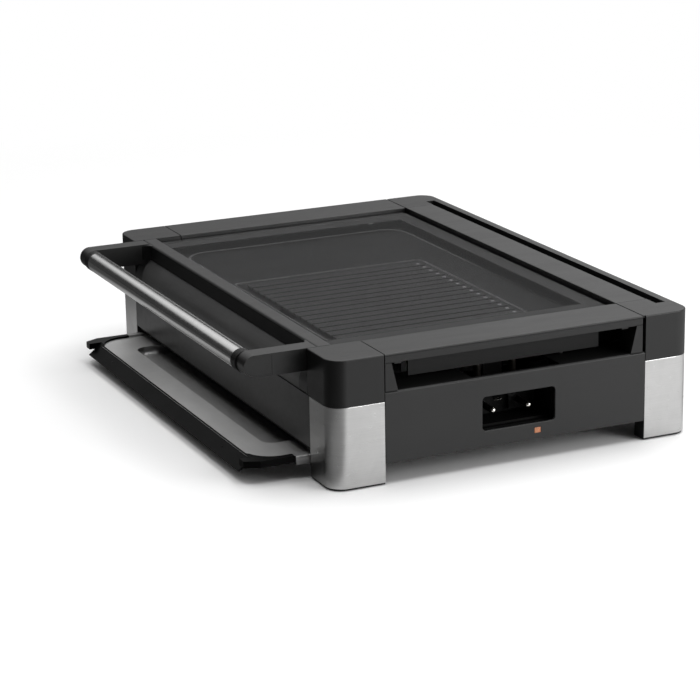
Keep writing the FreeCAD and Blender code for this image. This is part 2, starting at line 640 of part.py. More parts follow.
# Heating element: one bent tube under the plate, its two ends turned down
# to the terminals. Bent in two planes, so it is swept along a built path.
he = doc.addObject("Part::Feature", "Element")
zt = VALUES["heater_height"]
ya = VALUES["inlet_centre_y"] + VALUES["pin_spacing"] / 2
yb = VALUES["inlet_centre_y"] - VALUES["pin_spacing"] / 2
route = [V(226, ya, 70.4), V(226, ya, zt), V(-150, ya, zt), V(-150, 55, zt), V(170, 55, zt),
         V(170, 90, zt), V(-190, 90, zt), V(-190, -125, zt), V(170, -125, zt),
         V(170, -90, zt), V(-150, -90, zt), V(-150, yb, zt), V(226, yb, zt),
         V(226, yb, 70.4)]
rb = VALUES["heater_bend"]
edges = []
at = route[0]
for i in range(1, len(route) - 1):
    a, p, c = route[i - 1], route[i], route[i + 1]
    u = (a - p).normalize()
    w = (c - p).normalize()
    t0 = p + u * rb
    t1 = p + w * rb
    edges.append(Part.LineSegment(at, t0).toShape())
    mid = p + (u + w) * rb - (u + w).normalize() * rb
    edges.append(Part.Arc(t0, mid, t1).toShape())
    at = t1
edges.append(Part.LineSegment(at, route[-1]).toShape())
path = Part.Wire(edges)
ring = Part.Wire([Part.Circle(route[0], V(0, 0, 1), VALUES["heater_radius"]).toShape()])
he.Shape = path.makePipeShell([ring], True, True)
he.Placement = FreeCAD.Placement()
keep(he, "heating_element")

# Side grips: a rail along the top, a wedge leg at each end, an inner wall that
# closes the grip hole at the back, and two bosses screwed to the plate's lugs.
for side, sx in SIDES:
    b = body("side_grip_%s" % side)
    gi = S.grip_inner_x
    gh = S.grip_half_y
    pad(b, "XY", rect(gi * sx, W * sx, -gh, gh), S.rail_bottom, H)
    dress(b, "Fillet", lambda e: line_along(e, 1) and near(middle(e).z, H) and
          near(abs(middle(e).x), W), S.edge_round)
    dress(b, "Fillet", lambda e: line_along(e, 1) and near(middle(e).z, H) and
          near(abs(middle(e).x), gi), 0.6)
    for sgn in (-1, 1):
        leg = [(gh * sgn, S.grip_bottom), (gh * sgn, S.rail_bottom + 1),
               (S.leg_slant_top * sgn, S.rail_bottom + 1),
               (S.leg_slant_top * sgn, S.rail_bottom),
               (S.leg_slant_bottom * sgn, S.grip_bottom)]
        lo, hi = ((S.grip_wall_x + 1) * sx, W * sx)
        if sx < 0:
            lo, hi = hi, lo
        pad(b, "YZ", leg, lo, hi)
    pad(b, "XY", rect((S.grip_wall_x - 3) * sx, S.grip_wall_x * sx, -S.grip_wall_y,
                      S.grip_wall_y), S.grip_wall_bottom, S.rail_bottom + 1)
    for sgn in (-1, 1):
        pad(b, "XY", rect(258 * sx, 267 * sx, 112 * sgn, 119 * sgn), S.rail_bottom - 3,
            S.rail_bottom + 1)
    # shadow grooves along the rail's outer face: at its foot and under its top edge
    pocket(b, "XY", rect((W - 1.0) * sx, (W + 1) * sx, -gh - 1, gh + 1), S.rail_bottom,
           S.rail_bottom + 0.9)
    pocket(b, "XY", rect((W - 0.6) * sx, (W + 1) * sx, -gh - 1, gh + 1), H - 2.1, H - 1.5)
    for yc in (-65, 65):
        feature(b, "PartDesign::Pad", "XY", [("circle", 236 * sx, yc, 6.0)], 104.6,
                S.rail_bottom + 1)
        feature(b, "PartDesign::Pocket", "XY", [("circle", 236 * sx, yc, 2.05)], 103.0, 116.0)
    cav = rect((gi + 3) * sx, (S.grip_wall_x - 6) * sx, -gh + 4, -76)
    pocket(b, "XY", cav, S.rail_bottom - 1, S.rail_bottom + 5)
    cav = rect((gi + 3) * sx, (S.grip_wall_x - 6) * sx, 76, gh - 4)
    pocket(b, "XY", cav, S.rail_bottom - 1, S.rail_bottom + 5)
    cav = rect((gi + 3) * sx, (S.grip_wall_x - 6) * sx, -54, 54)
    pocket(b, "XY", cav, S.rail_bottom - 1, S.rail_bottom + 5)

gs = []
for side, sx in SIDES:
    for yc in (-65, 65):
        gs.append(cylinder("gh_%s_%d" % (side, yc + 99), 4.2, 3.0, 236 * sx, yc, 96.4))
        gs.append(cylinder("gs_%s_%d" % (side, yc + 99), 2.0, 17.0, 236 * sx, yc, 98.5))
fuse("grip_screws", gs)

# Terminals: a block that hangs under the plate's right edge behind the window.
ic = S.inlet_centre_y
b = body("terminal_block")
pad(b, "YZ", rect(ic - 40.3, ic + 40.3, 32.0, 70.0), 221.6, 264.0)
pocket(b, "YZ", rect(ic - 38.3, ic + 38.3, 34.0, 68.0), 231.0, 265.0)
pad(b, "YZ", rect(ic - 27, ic - 9, 39.0, 57.0), 230.5, 236.0)
pad(b, "YZ", rect(ic + 9, ic + 27, 39.0, 57.0), 230.5, 236.0)
feature(b, "PartDesign::Pad", "YZ", [("circle", ic + 8.0, 58.5, 5.0)], 230.5, 244.0)
feature(b, "PartDesign::Pocket", "YZ", [("circle", ic + 8.0, 58.5, 2.4)], 238.0, 245.0)
for sgn in (-1, 1):
    feature(b, "PartDesign::Pocket", "YZ", [("circle", ic + S.pin_spacing / 2 * sgn,
            S.pin_height, S.pin_radius + 0.75)], 222.0, 240.0)
pocket(b, "YZ", rect(ic - 17.0, ic - 9.6, 58.8, 61.2), 226.0, 240.0)
# rest shelf that the control slides along
pad(b, "YZ", rect(ic - 38.4, ic + 38.4, 33.5, 36.0), 230.5, 258.0)

pins = []
for sgn, nm in ((-1, "a"), (1, "b")):
    yy = ic + S.pin_spacing / 2 * sgn
    pins.append(cylinder("root_" + nm, S.pin_radius + 0.7, 13.0, 223.0, yy, S.pin_height,
                         (1, 0, 0)))
    pins.append(cylinder("pin_" + nm, S.pin_radius, S.pin_tip_x - S.pin_radius - 235.0,
                         235.0, yy, S.pin_height, (1, 0, 0)))
    pins.append(place(prim("Part::Sphere", "tip_" + nm, Radius=S.pin_radius),
                      S.pin_tip_x - S.pin_radius, yy, S.pin_height))
fuse("terminal_pins", pins)

b = body("earth_contact")
pad(b, "XZ", [(227.0, 59.2), (251.0, 59.2), (257.0, 56.4), (257.5, 57.5), (251.4, 60.6), (227.0, 60.6)],
    ic - 16.8, ic - 9.8)

b = body("terminal_bracket")
pad(b, "XZ", [(200, 97.5), (200, 99.4), (221.5, 99.4), (221.5, 40), (219.7, 40), (219.7, 97.5)],
    ic - 10, ic + 10)

# ---------------------------------------------------------------- glass lid
b = body("lid_glass")
gb = S.glass_top - S.glass_thick
pad(b, "XY", rect(-S.glass_half_x, S.glass_half_x, -(S.bar_rear_y + 8.6), S.glass_rear_y),
    gb, S.glass_top)
dress(b, "Fillet", lambda e: line_along(e, 2) and middle(e).y > 0, 5.0)
dress(b, "Chamfer", lambda e: not line_along(e, 2) and middle(e).y > -160 and
      near(middle(e).z, S.glass_top), 0.7)

b = body("lid_front_bar")
bf = -S.bar_front_y
br = -S.bar_rear_y
prof = [(bf, S.bar_bottom), (bf, H), (br, H), (br, S.glass_top + 0.1),
        (br - 8.8, S.glass_top + 0.1), (br - 8.8, gb - 0.1), (br, gb - 0.1), (br, S.bar_bottom)]
pad(b, "YZ", prof, -S.bar_half_x, S.bar_half_x)
ai = S.bar_half_x - S.arm_thick
dress(b, "Fillet", lambda e: line_along(e, 0) and near(middle(e).z, H) and
      near(middle(e).y, bf), S.bar_round)
dress(b, "Fillet", lambda e: line_along(e, 0) and near(middle(e).z, H) and
      near(middle(e).y, br), 0.7)
for side, sx in SIDES:
    # curved web between the bar and the inside of each arm
    cw = S.corner_web
    web = [(ai * sx, bf + 3.2)]
    for k in range(8):
        a = math.radians(90.0 * k / 7)
        web.append(((ai - cw + cw * math.cos(a)) * sx, bf - cw + cw * math.sin(a)))
    web.append(((ai - cw) * sx, bf + 3.2))
    pad(b, "XY", web, S.bar_bottom, H - 0.6)
for side, sx in SIDES:
    hx_ = (S.bar_half_x - S.arm_thick / 2) * sx
    feature(b, "PartDesign::Pocket", "XZ", [("circle", hx_, 108.2, 3.1)], br - 4, br + 1)
    feature(b, "PartDesign::Pocket", "XZ", [("circle", hx_, 108.2, 1.7)], bf - 1, br - 3)
for side, sx in SIDES:
    b = body("handle_arm_%s" % side)
    lo, hi = (ai * sx, S.bar_half_x * sx)
    if sx < 0:
        lo, hi = hi, lo
    pad(b, "YZ", rect(-S.arm_tip_y, bf, S.arm_bottom, H), lo, hi)
    # recess for the end cap in the outer face
    ci = S.cap_inset
    cl, ch = ((S.bar_half_x - S.cap_depth) * sx, (S.bar_half_x + 1) * sx)
    if sx < 0:
        cl, ch = ch, cl
    pocket(b, "YZ", rect(-S.arm_tip_y + ci, -S.cap_rear_y, S.arm_bottom + ci, H - ci), cl, ch)
    dress(b, "Fillet", lambda e: line_along(e, 0) and near(middle(e).y, -S.arm_tip_y + ci),
          (H - S.arm_bottom) / 2 - ci - 0.05)
    dress(b, "Fillet", lambda e: line_along(e, 0) and near(middle(e).y, -S.arm_tip_y),
          (H - S.arm_bottom) / 2 - 0.05)
    # socket for the ring's spigot, and the screw hole with its counterbore
    sl, sh = ((ai - 1) * sx, (ai + 6.1) * sx)
    if sx < 0:
        sl, sh = sh, sl
    feature(b, "PartDesign::Pocket", "YZ", [("circle", -S.tube_y, S.tube_z, 7.1)], sl, sh)
    sl, sh = ((ai + 5) * sx, (S.bar_half_x - S.cap_depth + 0.5) * sx)
    if sx < 0:
        sl, sh = sh, sl
    feature(b, "PartDesign::Pocket", "YZ", [("circle", -S.tube_y, S.tube_z, 2.1)], sl, sh)
    sl, sh = ((ai + 11) * sx, (S.bar_half_x - S.cap_depth + 0.5) * sx)
    if sx < 0:
        sl, sh = sh, sl
    feature(b, "PartDesign::Pocket", "YZ", [("circle", -S.tube_y, S.tube_z, 3.8)], sl, sh)

    feature(b, "PartDesign::Pocket", "XZ", [("circle", (S.bar_half_x - S.arm_thick / 2) * sx,
            108.2, 1.65)], bf - 17, bf + 1)

    b = body("arm_cap_%s" % side)
    cl, ch = ((S.bar_half_x - S.cap_depth + 0.1) * sx, (S.bar_half_x - 0.25) * sx)
    if sx < 0:
        cl, ch = ch, cl
    k = ci + 0.12
    pad(b, "YZ", rect(-S.arm_tip_y + k, -S.cap_rear_y - 0.12, S.arm_bottom + k, H - k), cl, ch)
    dress(b, "Fillet", lambda e: line_along(e, 0) and near(middle(e).y, -S.arm_tip_y + k),
          (H - S.arm_bottom) / 2 - k - 0.05)

    # ribbed ring between the tube and the arm
    b = body("handle_ring_%s" % side)
    th = S.tube_half
    lo, hi = (th * sx, (ai - 0.1) * sx)
    if sx < 0:
        lo, hi = hi, lo
    feature(b, "PartDesign::Pad", "YZ", [("circle", -S.tube_y, S.tube_z, S.ring_radius)], lo, hi)
    for k in range(4):
        g0 = th + 1.4 + 2.2 * k
        gl, gh2 = (g0 * sx, (g0 + 0.9) * sx)
        if sx < 0:
            gl, gh2 = gh2, gl
        feature(b, "PartDesign::Pocket", "YZ",
                [("circle", -S.tube_y, S.tube_z, S.ring_radius + 2),
                 ("circle", -S.tube_y, S.tube_z, S.ring_radius - 0.7)], gl, gh2)
    lo, hi = ((th - 14) * sx, (th + 0.5) * sx)
    if sx < 0:
        lo, hi = hi, lo
    feature(b, "PartDesign::Pad", "YZ", [("circle", -S.tube_y, S.tube_z,
                                          S.tube_radius - S.tube_wall - 0.05)], lo, hi)
    lo, hi = ((ai - 0.5) * sx, (ai + 5.9) * sx)
    if sx < 0:
        lo, hi = hi, lo
    feature(b, "PartDesign::Pad", "YZ", [("circle", -S.tube_y, S.tube_z, 7.0)], lo, hi)
    lo, hi = ((th - 10) * sx, (ai + 7) * sx)
    if sx < 0:
        lo, hi = hi, lo
    feature(b, "PartDesign::Pocket", "YZ", [("circle", -S.tube_y, S.tube_z, 1.95)], lo, hi)

b = body("handle_tube")
feature(b, "PartDesign::Pad", "YZ", [("circle", -S.tube_y, S.tube_z, S.tube_radius),
        ("circle", -S.tube_y, S.tube_z, S.tube_radius - S.tube_wall)],
        -(S.tube_half - 0.05), S.tube_half - 0.05)

hs = []
for side, sx in SIDES:
    x0 = (ai + 11.1) * sx
    hs.append(cylinder("hh_" + side, 3.5, 3.2, x0, -S.tube_y, S.tube_z, (sx, 0, 0)))
    hs.append(cylinder("hsx_" + side, 1.85, 24.0, (ai - 12) * sx, -S.tube_y, S.tube_z,
                       (sx, 0, 0)))
    hx_ = (S.bar_half_x - S.arm_thick / 2) * sx
    hs.append(cylinder("ah_" + side, 2.9, 2.2, hx_, br - 1.7, 108.2, (0, -1, 0)))
    hs.append(cylinder("as_" + side, 1.6, 26.0, hx_, br - 3.5, 108.2, (0, -1, 0)))
fuse("handle_screws", hs)

bump = []
for bx, by in ((-211, 119), (211, 119), (-206, -152), (206, -152)):
    bump.append(cylinder("bump_%d_%d" % (bx + 300, by + 300), 3.5, gb - S.plate_rim - 0.15,
                         bx, by, S.plate_rim + 0.15))
fuse("lid_bumpers", bump)

# ---------------------------------------------------------------- drip tray
b = body("drip_tray")
tx = S.tray_half_x
tr = S.tray_rim
ts = S.tray_sheet
fx = 217.9      # half width of the rim in the part that the trim clips over
pts = [(-tx, -S.trim_end_y), (-fx, -S.trim_end_y), (-fx, -S.tray_front_y - 1.4),
       (fx, -S.tray_front_y - 1.4), (fx, -S.trim_end_y), (tx, -S.trim_end_y),
       (tx, S.tray_rear_y), (-tx, S.tray_rear_y)]
pad(b, "XY", pts, tr - ts, tr)
dress(b, "Fillet", lambda e: line_along(e, 2) and middle(e).y < -220, 24.0)
bx = S.basin_half_x
f = pad(b, "XY", rect(-bx - 1.2, bx + 1.2, -S.basin_front_y - 1.2, S.basin_rear_y + 1.2),
        tr - ts - S.basin_depth, tr - 0.2)
pocket(b, "XY", rect(-bx, bx, -S.basin_front_y, S.basin_rear_y), tr - S.basin_depth, tr + 1)
inner = lambda e: line_along(e, 2) and near(abs(middle(e).x), bx)
outer = lambda e: line_along(e, 2) and near(abs(middle(e).x), bx + 1.2)
dress(b, "Fillet", outer, S.basin_corner + 1.2)
dress(b, "Fillet", inner, S.basin_corner)
dress(b, "Fillet", lambda e: near(middle(e).z, tr - S.basin_depth) and
      abs(middle(e).x) < bx.v + 0.01, 5.0)
for sx in (1, -1):
    pad(b, "XY", rect((tx - S.bead_width) * sx, tx * sx, -S.trim_end_y, S.tray_rear_y),
        tr - 0.2, S.bead_top)
    pad(b, "XY", rect((tx - ts) * sx, tx * sx, -S.trim_end_y, S.tray_rear_y),
        S.tray_skirt, tr - ts + 0.2)
    e0 = S.bead_top
    dress(b, "Fillet", lambda e: line_along(e, 1) and near(middle(e).z, S.bead_top) and
          near(middle(e).x, tx * sx), 1.9)
pad(b, "XY", rect(-tx + 6.5, tx - 6.5, S.tray_rear_y - ts, S.tray_rear_y), S.tray_skirt,
    tr - ts + 0.2)

# Trim: a frame that clips over the tray's front edge and corners. Its front slopes
# down and outwards to a lip, the pull; its corners are bevelled.
b = body("tray_fascia")
hx = S.trim_half_x
ix = S.trim_inner_x
fy = -S.trim_front_y
pts = [(-hx, -S.trim_end_y - 0.2), (-hx, -S.trim_bevel_y), (-S.trim_bevel_x, fy),
       (S.trim_bevel_x, fy), (hx, -S.trim_bevel_y), (hx, -S.trim_end_y - 0.2)]
pad(b, "XY", pts, S.trim_bottom, S.bead_top)
# the opening inside the trim, then room for the tray's rim under its edge
pocket(b, "XY", rect(-ix, ix, -S.tray_front_y, -S.trim_end_y + 1), S.trim_bottom - 1,
       S.bead_top + 1)
dress(b, "Fillet", lambda e: line_along(e, 2) and near(abs(middle(e).x), ix) and
      middle(e).y < -215, S.trim_corner)
pocket(b, "XY", rect(-218.1, 218.1, -S.tray_front_y - 1.6, -S.trim_end_y + 1),
       S.trim_bottom - 1, tr + 0.05)
dress(b, "Fillet", lambda e: line_along(e, 2) and near(abs(middle(e).x), 218.1) and
      middle(e).y < -215, 24.0)
lx = S.lip_half_x
iy = -S.tray_front_y
fall = (S.trim_ledge - S.lip_edge) / (S.lip_front_y - S.tray_front_y)
pocket(b, "YZ", [(iy, S.trim_ledge), (iy + 4.0, S.trim_ledge + fall * 4.0),
                 (iy + 4.0, S.bead_top + 6), (fy - 2, S.bead_top + 6),
                 (fy - 2, S.trim_ledge + fall * (fy - 2 - iy))], -lx, lx)
prof = [(iy - 1.9, S.trim_ledge - fall * 1.9), (-S.lip_front_y, S.lip_edge),
        (-S.lip_front_y + 1.0, S.lip_edge - 1.3), (iy - 6.4, S.trim_ledge - fall * 6.4 - 2.0),
        (iy - 1.9, S.trim_bottom)]
pad(b, "YZ", prof, -lx, lx)
for sx in (1, -1):
    feature(b, "PartDesign::Pad", "XY", [("circle", 150 * sx, iy - 4.4, 2.6)],
            13.6, S.trim_bottom + 0.5)
ribs = []
rv = []
for px_ in (-150, 150):
    rv.append(cylinder("rivet_head_%d" % (px_ + 200), 2.2, 0.8, px_, iy - 4.4, 12.8))
    rv.append(cylinder("rivet_stem_%d" % (px_ + 200), 1.1, 0.3, px_, iy - 4.4, 13.3))
fuse("fascia_screws", rv)

# ---------------------------------------------------------------- output
# The origin goes to the middle of the whole outline, tray and handle included.
shift = (S.lip_front_y - D) / 2
for name, o in NODES:
    o.Placement = FreeCAD.Placement(V(0, shift.v, 0), FreeCAD.Rotation())
    o.setExpression("Placement.Base.y", shift.e)
doc.recompute()
bad = []
for o in doc.Objects:
    if "Invalid" in o.State or "Error" in o.State:
        bad.append("%s (%s)" % (o.Label, o.TypeId))
for name, o in NODES:
    sh = o.Shape
    if sh.isNull() or not sh.isValid() or not sh.Solids or sh.Volume <= 0:
        bad.append("shape of %s" % name)
if bad:
    raise SystemExit("failed: " + ", ".join(bad))
os.makedirs("parts", exist_ok=True)
for name, o in NODES:
    o.Shape.exportStep("parts/%s.step" % name)
    bb = o.Shape.BoundBox
    print("%-26s solids %d vol %9.1f  x %.1f..%.1f y %.1f..%.1f z %.1f..%.1f" % (
        name, len(o.Shape.Solids), o.Shape.Volume, bb.XMin, bb.XMax, bb.YMin, bb.YMax,
        bb.ZMin, bb.ZMax))
print("nodes", len(NODES))
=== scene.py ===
import math
import random

import bmesh
import bpy
from mathutils import Matrix, Vector


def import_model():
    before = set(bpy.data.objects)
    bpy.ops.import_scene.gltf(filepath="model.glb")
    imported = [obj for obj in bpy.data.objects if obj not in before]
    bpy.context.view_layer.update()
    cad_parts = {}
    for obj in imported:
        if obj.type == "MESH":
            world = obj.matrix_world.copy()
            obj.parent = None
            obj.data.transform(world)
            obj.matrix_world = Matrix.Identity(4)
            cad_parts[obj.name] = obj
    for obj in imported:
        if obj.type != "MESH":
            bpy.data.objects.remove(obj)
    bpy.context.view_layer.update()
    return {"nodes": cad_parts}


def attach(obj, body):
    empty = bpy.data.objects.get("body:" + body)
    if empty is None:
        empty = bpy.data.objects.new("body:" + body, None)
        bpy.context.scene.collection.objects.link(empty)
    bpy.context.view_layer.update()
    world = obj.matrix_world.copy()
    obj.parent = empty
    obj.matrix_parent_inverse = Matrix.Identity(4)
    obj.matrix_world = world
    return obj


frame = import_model()
NODES = frame["nodes"]
random.seed(7)
SC = bpy.context.scene
SY = 0.03065          # the frame's origin lies this far behind the middle of the body


# ------------------------------------------------------------------ camera
def make_camera():
    c = Vector((2.10018, -0.99563 + SY, 0.72362))
    pitch, yaw, roll = 0.2878, 1.1438, -0.0179
    fw = Vector((-math.sin(yaw) * math.cos(pitch), math.cos(yaw) * math.cos(pitch),
                 -math.sin(pitch)))
    rt = Vector((math.cos(yaw), math.sin(yaw), 0.0))
    up = rt.cross(fw)
    r2 = rt * math.cos(roll) + up * math.sin(roll)
    u2 = up * math.cos(roll) - rt * math.sin(roll)
    cam = bpy.data.cameras.new("camera")
    cam.sensor_width = 36.0
    cam.lens = 2419.35 * 36.0 / 700.0
    cam.clip_start, cam.clip_end = 0.05, 100.0
    ob = bpy.data.objects.new("camera", cam)
    m = Matrix(((r2.x, u2.x, -fw.x, c.x), (r2.y, u2.y, -fw.y, c.y),
                (r2.z, u2.z, -fw.z, c.z), (0, 0, 0, 1)))
    SC.collection.objects.link(ob)
    ob.matrix_world = m
    SC.camera = ob


make_camera()
SC.view_settings.view_transform = "Standard"
SC.view_settings.look = "None"


# ------------------------------------------------------------------ node helpers
class G:
    """A small writer of shader node trees."""

    def __init__(self, name, world=False):
        if world:
            self.owner = bpy.data.worlds.new(name)
        else:
            self.owner = bpy.data.materials.new(name)
        self.owner.use_nodes = True
        self.t = self.owner.node_tree
        self.t.nodes.clear()

    def n(self, kind, **props):
        node = self.t.nodes.new(kind)
        for k, v in props.items():
            setattr(node, k, v)
        return node

    def l(self, a, b):
        self.t.links.new(a, b)

    def put(self, sock, v):
        if hasattr(v, "is_output") or isinstance(v, bpy.types.NodeSocket):
            self.l(v, sock)
        else:
            sock.default_value = v

    def math(self, op, a, b=0.0, c=0.0, clamp=False):
        m = self.n("ShaderNodeMath", operation=op, use_clamp=clamp)
        self.put(m.inputs[0], a)
        self.put(m.inputs[1], b)
        self.put(m.inputs[2], c)
        return m.outputs[0]

    def noise(self, vec, scale, detail=4.0, rough=0.55, dist=0.0):
        t = self.n("ShaderNodeTexNoise")
        self.put(t.inputs["Vector"], vec)
        t.inputs["Scale"].default_value = scale
        t.inputs["Detail"].default_value = detail
        t.inputs["Roughness"].default_value = rough
        t.inputs["Distortion"].default_value = dist
        return t.outputs["Fac"]

    def ramp(self, fac, lo, hi, a, b):
        r = self.n("ShaderNodeMapRange")
        self.put(r.inputs["Value"], fac)
        r.inputs["From Min"].default_value = lo
        r.inputs["From Max"].default_value = hi
        self.put(r.inputs["To Min"], a)
        self.put(r.inputs["To Max"], b)
        return r.outputs["Result"]

    def scaled(self, vec, sx, sy, sz):
        m = self.n("ShaderNodeMapping")
        self.put(m.inputs["Vector"], vec)
        m.inputs["Scale"].default_value = (sx, sy, sz)
        return m.outputs["Vector"]

    def coords(self):
        return self.n("ShaderNodeTexCoord").outputs["Object"]

    def mixc(self, fac, a, b, blend="MIX"):
        m = self.n("ShaderNodeMix", data_type="RGBA", blend_type=blend)
        self.put(m.inputs[0], fac)
        self.put(m.inputs[6], a)
        self.put(m.inputs[7], b)
        return m.outputs[2]

    def bump(self, height, strength, dist, normal=None):
        b = self.n("ShaderNodeBump")
        b.inputs["Strength"].default_value = strength
        b.inputs["Distance"].default_value = dist
        self.put(b.inputs["Height"], height)
        if normal is not None:
            self.l(normal, b.inputs["Normal"])
        return b.outputs["Normal"]

    def principled(self, color, rough, metal=0.0, normal=None, **more):
        p = self.n("ShaderNodeBsdfPrincipled")
        self.put(p.inputs["Base Color"], color)
        self.put(p.inputs["Roughness"], rough)
        p.inputs["Metallic"].default_value = metal
        if normal is not None:
            self.l(normal, p.inputs["Normal"])
        for k, v in more.items():
            p.inputs[k.replace("_", " ")].default_value = v
        return p

    def out(self, shader):
        o = self.n("ShaderNodeOutputMaterial")
        self.l(shader, o.inputs["Surface"])
        return self.owner


def rgb(v, g=None, b=None):
    return (v, v if g is None else g, v if b is None else b, 1.0)


def plastic(name, value, rough, grain=0.22, size=2600.0, warm=0.0, clear=0.0, spec=0.5,
            painted_shade=None):
    """Moulded plastic with a fine spark-eroded grain, faint flow marks and handling dust;
    optionally a zone of painted shade.
    """
    g = G(name)
    co = g.coords()
    fine = g.noise(co, size, 3.0, 0.6)
    mid = g.noise(co, size * 0.28, 3.0, 0.55)
    cloud = g.noise(co, 9.0, 5.0, 0.6, 0.4)
    smear = g.noise(g.scaled(co, 14.0, 3.0, 30.0), 2.4, 4.0, 0.6, 0.8)
    lo, hi = value * 0.82, value * 1.2
    col = g.mixc(g.ramp(cloud, 0.3, 0.7, 0.0, 1.0), rgb(lo, lo, lo * (1 + warm)),
                 rgb(hi, hi, hi * (1 + warm)))
    specks = g.ramp(g.noise(co, 900.0, 2.0, 0.5), 0.66, 0.78, 0.0, 0.35)
    col = g.mixc(specks, col, rgb(value * 2.1))
    r = g.math("ADD", g.ramp(smear, 0.25, 0.75, rough - 0.045, rough + 0.05),
               g.ramp(fine, 0.3, 0.7, -0.03, 0.03))
    h = g.math("ADD", g.math("MULTIPLY", fine, 0.6), g.math("MULTIPLY", mid, 0.8))
    nrm = g.bump(h, grain, 0.00006)
    p = g.principled(col, r, 0.0, nrm)
    p.inputs["Specular IOR Level"].default_value = spec
    if painted_shade is not None:
        # painted shade: the wall inside the grip hole, or a bar's front, gets a darker, duller
        # copy of the plastic where shade falls
        axis, lo_, hi_, top, level = painted_shade
        sep = g.n("ShaderNodeSeparateXYZ")
        g.l(co, sep.inputs[0])
        along = sep.outputs[axis] if axis else g.math("ABSOLUTE", sep.outputs[0])
        shaded_zone = g.ramp(along, lo_, hi_, 1.0, 0.0)
        shaded_zone = g.math("MULTIPLY", shaded_zone, g.ramp(sep.outputs[2], top, top + 0.0003, 1.0, 0.0))
        q = g.principled(rgb(value * 0.7), 0.62, 0.0, nrm)
        q.inputs["Specular IOR Level"].default_value = level
        mix = g.n("ShaderNodeMixShader")
        g.l(shaded_zone, mix.inputs[0])
        g.l(p.outputs[0], mix.inputs[1])
        g.l(q.outputs[0], mix.inputs[2])
        return g.out(mix.outputs[0])
    if clear:
        p.inputs["Coat Weight"].default_value = clear
        p.inputs["Coat Roughness"].default_value = 0.12
    return g.out(p.outputs[0])


def brushed(name, value, rough, axis, tint=(1.0, 1.0, 1.0), lines=2600.0, depth=0.12,
            aniso=0.45, cloudy=0.10, low=None):
    """Brushed metal; axis is the direction of the hairlines."""
    g = G(name)
    co = g.coords()
    s = {"x": (0.006, 1.0, 1.0), "y": (1.0, 0.006, 1.0), "z": (1.0, 1.0, 0.006),
         "xy": (0.006, 0.006, 1.0)}[axis]
    hair = g.noise(g.scaled(co, *s), lines, 3.0, 0.65)
    hair2 = g.noise(g.scaled(co, *[v if v == 1.0 else 0.02 for v in s]), lines * 0.35, 4.0, 0.6)
    cloud = g.noise(co, 28.0, 5.0, 0.6, 0.6)
    mott = g.noise(co, 150.0, 3.0, 0.5)
    lines_f = g.math("ADD", g.math("MULTIPLY", hair, 0.65), g.math("MULTIPLY", hair2, 0.35))
    shade = g.ramp(lines_f, 0.32, 0.68, value * 0.93, value * 1.05)
    shade = g.math("ADD", shade, g.ramp(cloud, 0.25, 0.75, -cloudy * value, cloudy * value))
    if low is not None:
        # painted shade: the bottom of the basin is darkened, standing in for the shadow that falls
        # on it
        sep = g.n("ShaderNodeSeparateXYZ")
        g.l(co, sep.inputs[0])
        shade = g.math("MULTIPLY", shade, g.ramp(sep.outputs[2], low[0], low[1], low[2], 1.0))
    comb = g.n("ShaderNodeCombineColor")
    for i, k in enumerate(tint):
        g.put(comb.inputs[i], g.math("MULTIPLY", shade, k))
    r = g.math("ADD", g.ramp(lines_f, 0.3, 0.7, rough - 0.03, rough + 0.03),
               g.ramp(mott, 0.3, 0.7, -0.02, 0.035))
    nrm = g.bump(lines_f, depth, 0.00004)
    p = g.principled(comb.outputs[0], r, 1.0, nrm)
    p.inputs["Anisotropic"].default_value = aniso
    return g.out(p.outputs[0])


M = {}
M["block"] = plastic("satin_black_moulding", 0.0045, 0.43, 0.16, spec=0.43)
M["bar"] = plastic("satin_black_bar", 0.0045, 0.41, 0.16)
# lid bar: painted shade on its front face, below the top
M["lid_bar"] = plastic("satin_black_lid_bar", 0.0045, 0.41, 0.16,
                       painted_shade=(1, SY - 0.1738, SY - 0.1732, 0.1185, 0.12))
M["strip"] = plastic("satin_strip", 0.054, 0.40, 0.12)
# grip: painted shade on the wall inside the grip hole
M["grip"] = plastic("satin_black_grip", 0.006, 0.43, 0.18, spec=0.43,
                    painted_shade=(0, 0.2505, 0.2513, 0.1116, 0.36))
M["arm"] = plastic("satin_black_arm", 0.006, 0.36, 0.12)
M["panel"] = plastic("anthracite_panel", 0.008, 0.46, 0.14, 3000.0, spec=0.47)
M["leg"] = plastic("leg_plastic", 0.006, 0.5, 0.2)
M["tub"] = plastic("tub_plastic", 0.0045, 0.62, 0.3, 1600.0, spec=0.22)
M["trim"] = plastic("trim_black", 0.0022, 0.36, 0.03, spec=0.09)
M["ring"] = plastic("ring_black", 0.008, 0.42, 0.1)
M["terminal"] = plastic("terminal_moulding", 0.0012, 0.6, 0.15, spec=0.16)
M["switch"] = plastic("switch_moulding", 0.03, 0.5, 0.15)
M["rubber"] = plastic("foot_rubber", 0.010, 0.75, 0.5, 1200.0)
M["sleeve"] = brushed("brushed_sleeve", 0.60, 0.30, "xy", (1.0, 0.997, 0.99), aniso=0.6,
                      cloudy=0.07)
M["front"] = brushed("satin_front_panel", 0.10, 0.34, "x", (1.0, 1.0, 1.0), depth=0.06,
                     aniso=0.3, cloudy=0.06)
M["tube"] = brushed("brushed_tube", 0.68, 0.14, "x", (1.0, 0.998, 0.992), depth=0.03,
                    aniso=0.3, cloudy=0.04)
# tray: its basin floor gets painted shade (low)
M["tray"] = brushed("tray_sheet", 0.50, 0.46, "x", (1.0, 0.998, 0.992), depth=0.04,
                    aniso=0.1, cloudy=0.05, low=(0.0165, 0.0196, 0.78))
M["alu"] = brushed("rolled_aluminium", 0.72, 0.3, "x", (1.0, 1.0, 1.01))
M["heater"] = brushed("heat_tinted_tube", 0.05, 0.5, "x", (1.0, 0.9, 0.8))
M["bracket"] = brushed("blackened_bracket", 0.02, 0.5, "x", (1.0, 0.97, 0.94))


